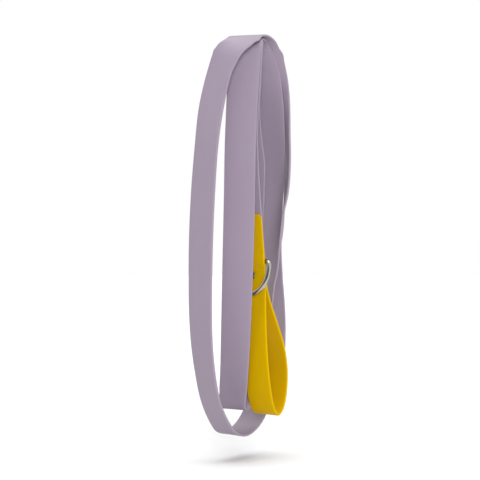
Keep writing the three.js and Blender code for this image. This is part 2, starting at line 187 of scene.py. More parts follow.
def add_node(
    tree: NodeTree,
    kind: str,
    settings: dict[str, object] | None = None,
    links: dict[str | int, NodeSocket] | None = None,
) -> Node:
    """Adds a node with its settings and links.

    Args:
        tree: The tree that gets the node.
        kind: Blender's name for the node's type.
        settings: Values for the node's inputs or properties, by name.
        links: Sockets that feed the node's inputs, by input name or number.

    Returns:
        The new node.
    """
    node = tree.nodes.new(kind)
    for name, value in (settings or {}).items():
        if hasattr(node, name):
            setattr(node, name, value)
        else:
            node.inputs[name].default_value = value
    for name, source in (links or {}).items():
        tree.links.new(source, node.inputs[name])
    return node


def blank_material(name: str) -> tuple[Material, NodeTree]:
    """Makes a material whose tree is empty.

    Args:
        name: The material's name.

    Returns:
        The material and its tree.
    """
    material = bpy.data.materials.new(name)
    material.use_nodes = True
    material.node_tree.nodes.clear()
    return material, material.node_tree


def noise(
    tree: NodeTree,
    place: NodeSocket,
    scale: float,
    detail: float = 2.0,
    roughness: float = 0.5,
) -> NodeSocket:
    """Adds a noise pattern.

    Args:
        tree: The tree that gets it.
        place: The coordinates that it is drawn in.
        scale: Blotches to one of their units.
        detail: Number of finer layers.
        roughness: Strength of those layers.

    Returns:
        The pattern's height.
    """
    settings = {"Scale": scale, "Detail": detail, "Roughness": roughness}
    return add_node(tree, "ShaderNodeTexNoise", settings, {"Vector": place}).outputs["Fac"]


def blend(tree: NodeTree, first: str, second: str, share: NodeSocket) -> NodeSocket:
    """Adds a blend of two sRGB hex colours.

    Args:
        tree: The tree that gets it.
        first: The colour where the share is 0.
        second: The colour where it is 1.
        share: How much of the second colour is in it.

    Returns:
        The colour.
    """
    colours = {"Color1": linear(first), "Color2": linear(second)}
    return add_node(tree, "ShaderNodeMixRGB", colours, {"Fac": share}).outputs["Color"]


def ranged(tree: NodeTree, pattern: NodeSocket, low: float, high: float) -> NodeSocket:
    """Turns a noise pattern into a range of values.

    Args:
        tree: The tree that gets the node.
        pattern: The noise pattern.
        low: The value where it is 0.3 or less.
        high: The value where it is 0.7 or more.

    Returns:
        The value.
    """
    settings = {"From Min": 0.3, "From Max": 0.7, "To Min": low, "To Max": high}
    return add_node(tree, "ShaderNodeMapRange", settings, {"Value": pattern}).outputs["Result"]


def relief(
    tree: NodeTree,
    height: NodeSocket,
    strength: float,
    depth: float,
    under: NodeSocket | None = None,
) -> NodeSocket:
    """Adds the relief of a pattern of heights.

    Args:
        tree: The tree that gets it.
        height: The pattern.
        strength: How much of the relief shows.
        depth: From the pattern's lowest to its highest, in metres.
        under: The relief that this one lies on.

    Returns:
        The relief's normal.
    """
    links = {"Height": height}
    if under:
        links["Normal"] = under
    settings = {"Strength": strength, "Distance": depth}
    return add_node(tree, "ShaderNodeBump", settings, links).outputs["Normal"]


def coat(
    material: Material,
    tree: NodeTree,
    settings: dict[str, object],
    links: dict[str, NodeSocket],
) -> Material:
    """Closes a material with its surface.

    Args:
        material: The material.
        tree: Its tree.
        settings: The surface's constants, by input name.
        links: Sockets that feed the surface's inputs, by input name.

    Returns:
        The material.
    """
    shader = add_node(tree, "ShaderNodeBsdfPrincipled", settings, links)
    add_node(tree, "ShaderNodeOutputMaterial", {}, {"Surface": shader.outputs["BSDF"]})
    return material


def smooth_path(points: Sequence[Sequence[float]], spacing: float, closed: bool = False) -> np.ndarray:
    """Runs a centripetal Catmull-Rom curve through points and samples it.

    Args:
        points: Places to go through; columns after the third are carried along.
        spacing: Greatest distance between samples, in metres.
        closed: Whether the curve ends where it starts.

    Returns:
        One row per sample, without the repeated first one where it is closed.
    """
    given = np.array(points, float)
    if closed:
        ends = np.vstack([given[-1:], given, given[:2]])
    else:
        ends = np.vstack([2 * given[:1] - given[1:2], given, 2 * given[-1:] - given[-2:-1]])
    steps = np.sqrt(np.linalg.norm(np.diff(ends[:, :3], axis=0), axis=1))
    rows = []
    for i in range(1, len(ends) - 2):
        a, b, c = steps[i - 1 : i + 2]
        p0, p1, p2, p3 = ends[i - 1 : i + 3]
        leave = b * ((p1 - p0) / a - (p2 - p0) / (a + b) + (p2 - p1) / b)
        arrive = b * ((p2 - p1) / b - (p3 - p1) / (b + c) + (p3 - p2) / c)
        count = max(1, math.ceil(np.linalg.norm(p2[:3] - p1[:3]) / spacing))
        for s in np.arange(count) / count:
            rows.append(
                (2 * s**3 - 3 * s**2 + 1) * p1
                + (s**3 - 2 * s**2 + s) * leave
                + (3 * s**2 - 2 * s**3) * p2
                + (s**3 - s**2) * arrive
            )
    if not closed:
        rows.append(ends[-2])
    return np.array(rows)


def frame_at(place: Sequence[float], turn: float) -> Matrix:
    """Makes a frame with X across the strap, Y out of its far face and Z up.

    Args:
        place: The frame's origin.
        turn: Swing of the strap's right-hand edge towards the viewer, in degrees.

    Returns:
        The frame as a matrix.
    """
    return Matrix.Translation(Vector(place)) @ Matrix.Rotation(math.radians(-turn), 4, "Z")


def skin(
    rings: Sequence[Sequence[Sequence[float]]],
    around: Sequence[Sequence[float]],
    along: Sequence[float],
    closed: bool = False,
) -> Mesh:
    """Makes a skin over rings of equal point count, with its surface measured out in metres.

    Args:
        rings: The rings, each running round counter-clockwise as seen against the way of travel.
        around: Each ring point's distance across or round the surface, by ring.
        along: Each ring's distance along the piece.
        closed: Whether the last ring joins the first. An open skin gets a face at each end.

    Returns:
        The mesh, smooth except at its ends, whose faces use the second material.
    """
    count = len(rings[0])
    mesh = bpy.data.meshes.new("skin")
    build = bmesh.new()
    corners = [[build.verts.new(p) for p in ring] for ring in rings]
    surface = build.loops.layers.uv.new(SURFACE_MAP)
    spans = len(rings) if closed else len(rings) - 1
    for i in range(spans):
        j = (i + 1) % len(rings)
        far = along[j] if j else along[-1] + (along[1] - along[0])
        for k in range(count):
            n = (k + 1) % count
            face = build.faces.new((corners[i][k], corners[i][n], corners[j][n], corners[j][k]))
            face.smooth = True
            last = around[i][n] if n else around[i][-1] + abs(around[i][1] - around[i][0])
            places = ((around[i][k], along[i]), (last, along[i]), (last, far), (around[i][k], far))
            for loop, place in zip(face.loops, places):
                loop[surface].uv = place
    if not closed:
        for ring, spread in ((corners[0][::-1], around[0][::-1]), (corners[-1], around[-1])):
            face = build.faces.new(ring)
            face.material_index = 1
            for loop, place in zip(face.loops, spread):
                loop[surface].uv = (place, 0)
    build.to_mesh(mesh)
    build.free()
    mesh.validate()
    return mesh


def sweep(path: np.ndarray, radius: float, sides: int, closed: bool) -> Mesh:
    """Sweeps a circle along a path, turning it no more than the path does.

    Args:
        path: Places along the middle of the wire.
        radius: The wire's radius.
        sides: Points round the wire.
        closed: Whether the path ends where it starts.

    Returns:
        The wire's mesh.
    """
    if closed:
        ways = np.roll(path, -1, axis=0) - np.roll(path, 1, axis=0)
    else:
        ways = np.gradient(path, axis=0)
    ways = ways / np.linalg.norm(ways, axis=1, keepdims=True)
    side = np.cross(ways[0], (0.31, 0.17, 0.93))
    rings = []
    for place, way in zip(path, ways):
        side = side - way * (side @ way)
        side = side / np.linalg.norm(side)
        other = np.cross(way, side)
        turns = np.arange(sides) * 2 * math.pi / sides
        rings.append([place + radius * (math.cos(t) * side + math.sin(t) * other) for t in turns])
    around = [[radius * 2 * math.pi * k / sides for k in range(sides)]] * len(path)
    gaps = np.linalg.norm(np.diff(path, axis=0), axis=1)
    return skin(rings, around, [0.0, *np.cumsum(gaps)], closed)


def turned(profile: Profile, place: Matrix, sides: int = 48) -> Mesh:
    """Turns a profile about the X axis of its own frame, as a lathe does.

    Args:
        profile: Pairs of height along the axis and radius, from one end to the other.
        place: Where the frame is.
        sides: Points round the piece.

    Returns:
        The mesh, closed at both ends.
    """
    least = 0.02 * MM
    turns = np.arange(sides) * 2 * math.pi / sides
    heights = [h for h, _ in profile]
    radii = [max(r, least) for _, r in profile]
    rings = [[(h, r * math.cos(t), r * math.sin(t)) for t in turns] for h, r in zip(heights, radii)]
    around = [[max(radii) * t for t in turns]] * len(profile)
    gaps = [math.hypot(heights[i + 1] - heights[i], radii[i + 1] - radii[i]) for i in range(len(radii) - 1)]
    mesh = skin(rings, around, [0.0, *np.cumsum(gaps)])
    for face in mesh.polygons:
        face.material_index = 0
    mesh.transform(place)
    return mesh


def rounded(corners: Profile, radius: float, steps: int = 4) -> list[tuple[float, float]]:
    """Rounds the inner corners of a profile.

    Args:
        corners: The profile with sharp corners.
        radius: The greatest rounding.
        steps: Spans in each round.

    Returns:
        The profile with rounds in it.
    """
    made = [tuple(corners[0])]
    for before, corner, after in zip(corners, corners[1:], corners[2:]):
        at, back, on = Vector(corner), Vector(before), Vector(after)
        reach = min(radius, (back - at).length / 2.2, (on - at).length / 2.2)
        start = at + (back - at).normalized() * reach
        end = at + (on - at).normalized() * reach
        for i in range(steps + 1):
            s = i / steps
            point = start * (1 - s) ** 2 + at * 2 * s * (1 - s) + end * s**2
            made.append((point.x, point.y))
    made.append(tuple(corners[-1]))
    return made


def piece(name: str, mesh: Mesh, finishes: Sequence[Material]) -> Object:
    """Puts a mesh in the scene under its name, with its finishes.

    Args:
        name: The piece's name.
        mesh: Its mesh, in place.
        finishes: Its materials, in the order of the mesh's material numbers.

    Returns:
        The piece.
    """
    mesh.name = name
    for finish in finishes:
        mesh.materials.append(finish)
    made = bpy.data.objects.new(name, mesh)
    bpy.context.scene.collection.objects.link(made)
    return made


def worked(start: Object, steps: Sequence[tuple[str, dict[str, object]]]) -> None:
    """Runs modifiers over a piece and keeps what they make.

    Args:
        start: The piece to work on.
        steps: Blender's modifier types, each with its settings.
    """
    for kind, settings in steps:
        modifier = start.modifiers.new(kind.title(), kind)
        for name, value in settings.items():
            setattr(modifier, name, value)
    bpy.context.view_layer.update()
    shape = bpy.data.meshes.new_from_object(start.evaluated_get(bpy.context.evaluated_depsgraph_get()))
    start.modifiers.clear()
    start.data = shape


def welded(name: str, meshes: Sequence[Mesh], voxel: float, passes: int) -> Object:
    """Melts overlapping meshes into one body with soft inner corners, as a casting has.

    Args:
        name: The piece's name.
        meshes: The overlapping closed meshes.
        voxel: The size of detail that is kept.
        passes: Rounds of smoothing.

    Returns:
        The piece, with no materials yet.
    """
    build = bmesh.new()
    for mesh in meshes:
        build.from_mesh(mesh)
    whole = bpy.data.meshes.new(name)
    build.to_mesh(whole)
    build.free()
    whole.materials.clear()
    made = piece(name, whole, [])
    worked(
        made,
        [
            ("REMESH", {"mode": "VOXEL", "voxel_size": voxel, "use_smooth_shade": True}),
            ("SMOOTH", {"factor": 0.5, "iterations": passes}),
        ],
    )
    return made


def bored(blank: Object, cutters: Sequence[Mesh]) -> None:
    """Cuts bores and slots out of a piece.

    Args:
        blank: The piece that is cut.
        cutters: Closed meshes of what is taken away.
    """
    tools = [piece(f"{blank.name}_cutter_{i}", mesh, []) for i, mesh in enumerate(cutters)]
    worked(
        blank,
        [("BOOLEAN", {"operation": "DIFFERENCE", "object": tool, "solver": "EXACT"}) for tool in tools],
    )
    for tool in tools:
        bpy.data.objects.remove(tool)
    blank.data.name = blank.name
    blank.data.set_sharp_from_angle(angle=math.radians(40))


def settle(made: Object, body: str, slot: str, *nodes: str) -> Object:
    """Rides a piece on its body, in place of the nodes that it stands for.

    Args:
        made: The finished piece.
        body: The body that it moves with.
        slot: The record's material slot; not used.
        *nodes: The nodes that it replaces.

    Returns:
        The piece.
    """
    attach(made, body)
    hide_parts(*nodes)
    log.info("%s: %d faces on %s", made.name, len(made.data.polygons), body)
    return made


# ---------------------------------------------------------------- finishes
@dataclass(frozen=True)
class CoatedWebbing:
    """Polyester webbing inside an extruded satin plastic skin.

    The eye gets one even soft colour with a broad sheen, a faint grain, edges painted a shade lighter
    as a painted highlight where the rounded edges catch the light, and a fibrous core only at the cut ends.
    """

    name: str
    body: str
    shade: str
    # edge is a lighter colour painted along both edges of the strap: a painted highlight where the rounded
    # edges catch the light.
    edge: str
    core: str
    width: float = 25 * MM
    highlight_band: float = 1.0 * MM
    # Skin grain is finer than a render shows, so it is drawn at 0.45 mm instead of 0.1 mm.
    grain: float = 0.45 * MM
    # The webbing's ribs show through the skin every 1.6 mm across and 2.2 mm along.
    rib_across: float = 1.6 * MM
    rib_along: float = 2.2 * MM
    rib_depth: float = 0.03 * MM
    grain_depth: float = 0.02 * MM
    highlight_share: float = 0.55
    cloud: float = 35 * MM
    yarn: float = 0.35 * MM
    roughness: tuple[float, float] = (0.42, 0.54)
    # The pigment goes right through the skin, so its glint is coloured as well.
    glint: str = "#ffffff"
    glint_level: float = 0.4

    def skin(self) -> Material:
        """Makes the plastic skin's material."""
        material, tree = blank_material(f"{self.name}_extruded_skin")
        surface = add_node(tree, "ShaderNodeUVMap", {"uv_map": SURFACE_MAP}).outputs["UV"]
        space = add_node(tree, "ShaderNodeTexCoord").outputs["Object"]
        cloud = noise(tree, space, 1 / self.cloud, 3.0, 0.55)
        grain = noise(tree, space, 1 / self.grain)
        parts = add_node(tree, "ShaderNodeSeparateXYZ", {}, {"Vector": surface})
        side = add_node(tree, "ShaderNodeMath", {"operation": "ABSOLUTE"}, {"Value": parts.outputs["X"]})
        # Painted highlight: the edge colour is mixed in towards both edges of the strap, where the rounded
        # edges catch the light.
        edge_highlight = add_node(
            tree,
            "ShaderNodeMapRange",
            {
                "interpolation_type": "SMOOTHSTEP",
                "From Min": self.width / 2 - self.highlight_band,
                "From Max": self.width / 2 - 0.15 * self.highlight_band,
                "To Max": self.highlight_share,
            },
            {"Value": side.outputs["Value"]},
        )
        colour = add_node(
            tree,
            "ShaderNodeMixRGB",
            {"Color2": linear(self.edge)},
            {"Fac": edge_highlight.outputs["Result"], "Color1": blend(tree, self.shade, self.body, cloud)},
        )
        ribs = [
            add_node(
                tree,
                "ShaderNodeTexWave",
                {"bands_direction": way, "Scale": 2 * math.pi / (20 * gap), "Distortion": 0.25},
                {"Vector": surface},
            )
            for way, gap in (("X", self.rib_across), ("Y", self.rib_along))
        ]
        weave = add_node(
            tree,
            "ShaderNodeMath",
            {"operation": "MULTIPLY"},
            {0: ribs[0].outputs["Fac"], 1: ribs[1].outputs["Fac"]},
        )
        telegraph = relief(tree, weave.outputs["Value"], 0.10, self.rib_depth)
        return coat(
            material,
            tree,
            {
                "IOR": 1.5,
                "Metallic": 0.0,
                "Specular IOR Level": self.glint_level,
                "Specular Tint": linear(self.glint),
            },
            {
                "Base Color": colour.outputs["Color"],
                "Roughness": ranged(tree, cloud, *self.roughness),
                "Normal": relief(tree, grain, 0.18, self.grain_depth, telegraph),
            },
        )

    def cut_end(self) -> Material:
        """Makes the material of a cut end, where the fibres of the core show between the skins."""
        material, tree = blank_material(f"{self.name}_cut_fibre_core")
        space = add_node(tree, "ShaderNodeTexCoord").outputs["Object"]
        cells = add_node(tree, "ShaderNodeTexVoronoi", {"Scale": 1 / self.yarn}, {"Vector": space})
        fibres = cells.outputs["Distance"]
        colour = blend(tree, self.core, self.body, fibres)
        links = {"Base Color": colour, "Normal": relief(tree, fibres, 0.6, 0.1 * MM)}
        return coat(material, tree, {"Roughness": 0.85}, links)


class Working(Enum):
    """How a plated metal surface was shaped before plating."""

    CAST = "cast"
    DRAWN = "drawn"
    PRESSED = "pressed"
    TURNED = "turned"


@dataclass(frozen=True)
class PlatedMetal:
    """Bright nickel plate over steel, brass or zinc.

    The eye gets a warm grey mirror, softened by what the shaping left under the plate: tumbled
    dimples on a casting, lengthwise lines on drawn wire, rings on turned and pressed work.
    """

    name: str
    working: Working
    bright: str = "#c9c6bf"
    dull: str = "#a5a29b"
    roughness: tuple[float, float] = (0.14, 0.26)
    # Tool lines are 0.05 mm apart, drawn at 0.25 mm so that they show.
    line_gap: float = 0.25 * MM
    line_stretch: float = 40.0
    line_depth: float = 0.012 * MM
    dimple: float = 1.4 * MM
    dimple_depth: float = 0.05 * MM
    haze: float = 4 * MM

    def marks(self, tree: NodeTree) -> tuple[NodeSocket, float]:
        """Draws what the shaping left under the plate.

        Args:
            tree: The tree that gets it.

        Returns:
            The marks' height and their depth.
        """
        if self.working is Working.CAST:
            space = add_node(tree, "ShaderNodeTexCoord").outputs["Object"]
            return noise(tree, space, 1 / self.dimple), self.dimple_depth
        surface = add_node(tree, "ShaderNodeUVMap", {"uv_map": SURFACE_MAP}).outputs["UV"]
        across = 1 / self.line_gap
        along = across / self.line_stretch
        lengthwise = self.working is Working.DRAWN
        scale = (across, along, 1) if lengthwise else (along, across, 1)
        stretch = add_node(tree, "ShaderNodeMapping", {"Scale": scale}, {"Vector": surface})
        return noise(tree, stretch.outputs["Vector"], 1.0), self.line_depth

    def material(self) -> Material:
        """Makes the plate's material."""
        material, tree = blank_material(self.name)
        space = add_node(tree, "ShaderNodeTexCoord").outputs["Object"]
        haze = noise(tree, space, 1 / self.haze, 4.0, 0.6)
        marks, depth = self.marks(tree)
        return coat(
            material,
            tree,
            {"Metallic": 1.0},
            {
                "Base Color": blend(tree, self.dull, self.bright, haze),
                "Roughness": ranged(tree, haze, *self.roughness[::-1]),
                "Normal": relief(tree, marks, 0.35, depth),
            },
        )


# The fourth colour of each webbing is its painted edge highlight, lighter than the body where the rounded
# edges catch the light.
LILAC = CoatedWebbing("lilac_coated_webbing", "#9b8ea0", "#968999", "#a699ab", "#c9c4cc")
YELLOW = CoatedWebbing(
    "yellow_coated_webbing", "#d2a900", "#cea400", "#deb800", "#d8cfa6", glint="#ffc400", glint_level=0.2
)
RIVET_PLATE = PlatedMetal("nickel_on_pressed_steel", Working.PRESSED)
WIRE_PLATE = PlatedMetal("nickel_on_drawn_steel_wire", Working.DRAWN, roughness=(0.07, 0.15))
CAST_PLATE = PlatedMetal("nickel_on_tumbled_zinc_casting", Working.CAST, roughness=(0.18, 0.32))
TURNED_PLATE = PlatedMetal("nickel_on_turned_brass", Working.TURNED)
SPRING_WIRE = PlatedMetal(
    "drawn_spring_steel", Working.DRAWN, bright="#9a9c9e", dull="#77797b", roughness=(0.28, 0.4)
)


# ---------------------------------------------------------------- webbing
@dataclass
class Strap:
    """A run of coated webbing laid along a route, with its cut ends.

    Attributes:
        name: The piece's name.
        route: The stations that it goes through.
        finish: What it is made of.
        width: Its width.
        thickness: Its thickness.
        edge: Radius of its rounded edges.
        corner: Radius of the corners of its two cut ends.
        spacing: Greatest distance between sections.
        face_spans: Faces across each flat side.
        edge_spans: Faces round each quarter of a rounded edge.
        centres: Its centreline, known once its mesh is made.
    """

    name: str
    route: Sequence[Station]
    finish: CoatedWebbing
    width: float = 25 * MM
    thickness: float = 1.7 * MM
    edge: float = 0.65 * MM
    corner: float = 0.0
    spacing: float = 2.0 * MM
    face_spans: int = 6
    edge_spans: int = 4
    centres: list[tuple[float, float, float]] = field(default_factory=list)

    def section(self, width: float) -> list[tuple[float, float]]:
        """Gives the outline of the strap cut across, as places across it and out of its face.

        Args:
            width: The width there.

        Returns:
            The outline, once round.
        """
        w, t, r = width / 2, self.thickness / 2, self.edge
        flat = np.linspace(-w + r, w - r, self.face_spans + 1)[1:-1]
        outline = []
        x, y = w - r, t - r
        for cx, cy, start in ((-x, -y, 180), (x, -y, 270), (x, y, 0), (-x, y, 90)):
            for i in range(self.edge_spans + 1):
                a = math.radians(start + 90 * i / self.edge_spans)
                outline.append((cx + r * math.cos(a), cy + r * math.sin(a)))
            if start == 180:
                outline.extend((place, -t) for place in flat)
            if start == 0:
                outline.extend((place, t) for place in flat[::-1])
        return outline

    def width_at(self, from_end: float) -> float:
        """Narrows the strap round the corners of a cut end.

        Args:
            from_end: Distance to the nearer end.

        Returns:
            The width there.
        """
        if from_end >= self.corner:
            return self.width
        short = self.corner - from_end
        return self.width - 2 * (self.corner - math.sqrt(self.corner**2 - short**2))

    def mesh(self) -> Mesh:
        """Lays the strap along its route and notes its centreline."""
        stations = smooth_path([(*station, 0.0, 0.0)[:6] for station in self.route], self.spacing)
        places, turns, rises = stations[:, :3], np.radians(stations[:, 3]), np.radians(stations[:, 4])
        ways = np.gradient(places, axis=0)
        ways /= np.linalg.norm(ways, axis=1, keepdims=True)
        level = np.cos(rises)
        across = np.column_stack([np.cos(turns) * level, -np.sin(turns) * level, np.sin(rises)])
        squared = 1 - np.clip(stations[:, 5:6], 0, 1)
        across -= ways * squared * np.sum(across * ways, axis=1, keepdims=True)
        across /= np.linalg.norm(across, axis=1, keepdims=True)
        out = np.cross(ways, across)
        out /= np.linalg.norm(out, axis=1, keepdims=True)
        across /= np.sqrt(1 - np.sum(across * ways, axis=1, keepdims=True) ** 2)
        gaps = np.linalg.norm(np.diff(places, axis=0), axis=1)
        along = np.concatenate([[0.0], np.cumsum(gaps)])
        rings, around = [], []
        for place, side, face, at in zip(places, across, out, along):
            outline = self.section(self.width_at(min(at, along[-1] - at)))
            rings.append([place + side * a + face * b for a, b in outline])
            around.append([a for a, _ in outline])
        self.centres = [tuple(float(v) for v in p) for p in places]
        return skin(rings, around, list(along))

    def make(self, node: str, slot: str) -> Object:
        """Builds, dresses and places the strap.

        Args:
            node: The node that it stands for.
            slot: The record's material slot.

        Returns:
            The piece.
        """
        made = piece(self.name, self.mesh(), [self.finish.skin(), self.finish.cut_end()])
        return settle(made, "lead", slot, node)


@dataclass
class HookEndTab(Strap):
    """The yellow piece folded round the swivel eye's bar, with the lead's end between its layers.

    Attributes:
        heights: Heights of the stations beside the lead's end, from the piece's top downwards.
        layer: From the middle of the lead's end to the middle of each layer.
        bend: Radius of the fold.
    """

    heights: tuple[float, ...] = (-0.2035, -0.2075, -0.212, -0.2195)
    layer: float = 1.95 * MM
    bend: float = 3.0 * MM

    def beside(self, height: float, offset: float) -> Station:
        """Gives a station beside the lead's end.

        Args:
            height: Its height.
            offset: Distance out of the lead's far face.

        Returns:
            The station.
        """
        turn = math.radians(EYE_TURN)
        x, y = EYE_AXIS[0] + math.sin(turn) * offset, EYE_AXIS[1] + math.cos(turn) * offset
        return (x, y, height, EYE_TURN)

    def __post_init__(self) -> None:
        """Works the route out from the fold's sizes."""
        fold = [
            self.beside(
                EYE_AXIS[2] - self.bend * math.sin(math.radians(a)),
                -self.bend * math.cos(math.radians(a)),
            )
            for a in range(0, 181, 30)
        ]
        near = [self.beside(z, -self.layer) for z in self.heights]
        far = [self.beside(z, self.layer) for z in reversed(self.heights)]
        self.route = [*near, *fold, *far]


# ---------------------------------------------------------------- rivets
@dataclass
class Rivet:
    """A two-part rivet: a domed cap on the viewer's side and a post with a flat foot behind.

    Attributes:
        name: The rivet's name.
        place: The middle of the layers that it holds.
        turn: The strap's turn there, in degrees.
        front: Distance from the middle to the strap's face on the viewer's side.
        back: Distance from the middle to the face behind.
        shank: Diameter of the post.
        foot: Diameter of the post's foot.
        cap: Diameter of the cap.
        clearance: Gap under the cap and over the foot.
    """

    name: str
    place: tuple[float, float, float]
    turn: float
    front: float
    back: float
    shank: float = 3.0 * MM
    foot: float = 8.0 * MM
    cap: float = 7.6 * MM
    clearance: float = 0.1 * MM

    def frame(self) -> Matrix:
        """Gives a frame whose X runs along the shank, out of the strap's far face."""
        return frame_at(self.place, self.turn) @ Matrix.Rotation(math.radians(90), 4, "Z")

    def cap_mesh(self) -> Mesh:
        """Turns the cap: a dome with a rolled rim, hollow over the end of the shank."""
        face = -self.front - self.clearance
        rim, bore = self.cap / 2, self.shank / 2 + 0.12 * MM
        dome = [
            (face - 1.75 * MM, 0.0), (face - 1.70 * MM, 0.9 * MM), (face - 1.50 * MM, 1.9 * MM),
            (face - 1.12 * MM, 2.8 * MM), (face - 0.62 * MM, 3.45 * MM), (face - 0.40 * MM, rim),
            (face - 0.05 * MM, rim), (face, rim - 0.25 * MM), (face, bore), (face - 0.85 * MM, bore),
            (face - 0.85 * MM, 0.0),
        ]
        return turned(rounded(dome, 0.35 * MM), self.frame())

    def post_mesh(self) -> Mesh:
        """Turns the post: a shank and a flat foot with a pressed dimple in its middle."""
        face = self.back + self.clearance
        shank, foot = self.shank / 2, self.foot / 2
        outline = [
            (-self.front - 0.75 * MM, 0.0), (-self.front - 0.75 * MM, shank), (face, shank),
            (face, foot - 0.2 * MM), (face + 0.35 * MM, foot), (face + 0.9 * MM, foot - 0.8 * MM),
            (face + 0.9 * MM, 1.7 * MM), (face + 0.45 * MM, 1.2 * MM), (face + 0.45 * MM, 0.0),
        ]
        return turned(rounded(outline, 0.25 * MM), self.frame())

    def make(self) -> list[Object]:
        """Builds, dresses and places both parts of the rivet."""
        made = []
        for part, mesh in (("cap", self.cap_mesh()), ("post", self.post_mesh())):
            mesh.set_sharp_from_angle(angle=math.radians(35))
            half = piece(f"{self.name}_{part}_plated", mesh, [RIVET_PLATE.material()])
            made.append(settle(half, "lead", "nickel_rivet", f"{self.name}_{part}"))
        return made


RIVETS = [
    Rivet("handle_rivet_upper", (0.00778, -0.009, -0.1365), 37, 3.05 * MM, 2.85 * MM),
    Rivet("handle_rivet_middle", (0.00863, -0.009, -0.148), 37, 3.1 * MM, 3.05 * MM),
    Rivet("handle_rivet_lower", (0.01017, -0.00897, -0.175), 38, 1.95 * MM, 1.95 * MM),
    Rivet("tab_rivet_upper", (EYE_AXIS[0], EYE_AXIS[1], -0.2075), EYE_TURN, 2.85 * MM, 2.85 * MM),
    Rivet("tab_rivet_lower", (EYE_AXIS[0], EYE_AXIS[1], -0.2155), EYE_TURN, 2.85 * MM, 2.85 * MM),
]


# ---------------------------------------------------------------- D-ring
@dataclass
class DRing:
    """The welded wire D-ring whose straight bar is held between the layers of the handle's neck.

    Attributes:
        bar: The middle of the straight bar.
        turn: The bar's turn, the same as the strap's.
        lean: How far the ring's foot stands out towards the viewer, in degrees.
        wire: The wire's diameter.
        half: The right half of the wire's middle line, as distances across and below the bar.
        foot: From the bar to the middle of the bow.
    """

    bar: tuple[float, float, float] = (0.00975, -0.009, -0.164)
    turn: float = 38.0
    lean: float = 16.0
    wire: float = 3.5 * MM
    half: tuple[tuple[float, float], ...] = (
        (0, 0), (0.007, 0), (0.0138, 0), (0.0162, 0.0013), (0.0172, 0.0044), (0.0173, 0.01),
        (0.0166, 0.0154), (0.0139, 0.0212), (0.008, 0.0257),
    )
    foot: float = 0.0273

    def mesh(self) -> Mesh:
        """Bends the wire round the ring's outline."""
        right = [(x, 0.0, -z) for x, z in self.half]
        left = [(-x, 0.0, -z) for x, z in self.half[:0:-1]]
        path = smooth_path([*right, (0.0, 0.0, -self.foot), *left], 0.8 * MM, closed=True)
        mesh = sweep(path, self.wire / 2, 28, closed=True)
        mesh.transform(frame_at(self.bar, self.turn) @ Matrix.Rotation(math.radians(-self.lean), 4, "X"))
        return mesh

    def make(self) -> Object:
        """Builds, dresses and places the ring."""
        made = piece("d_ring_wire", self.mesh(), [WIRE_PLATE.material()])
        return settle(made, "ring", "nickel_wire", "d_ring")


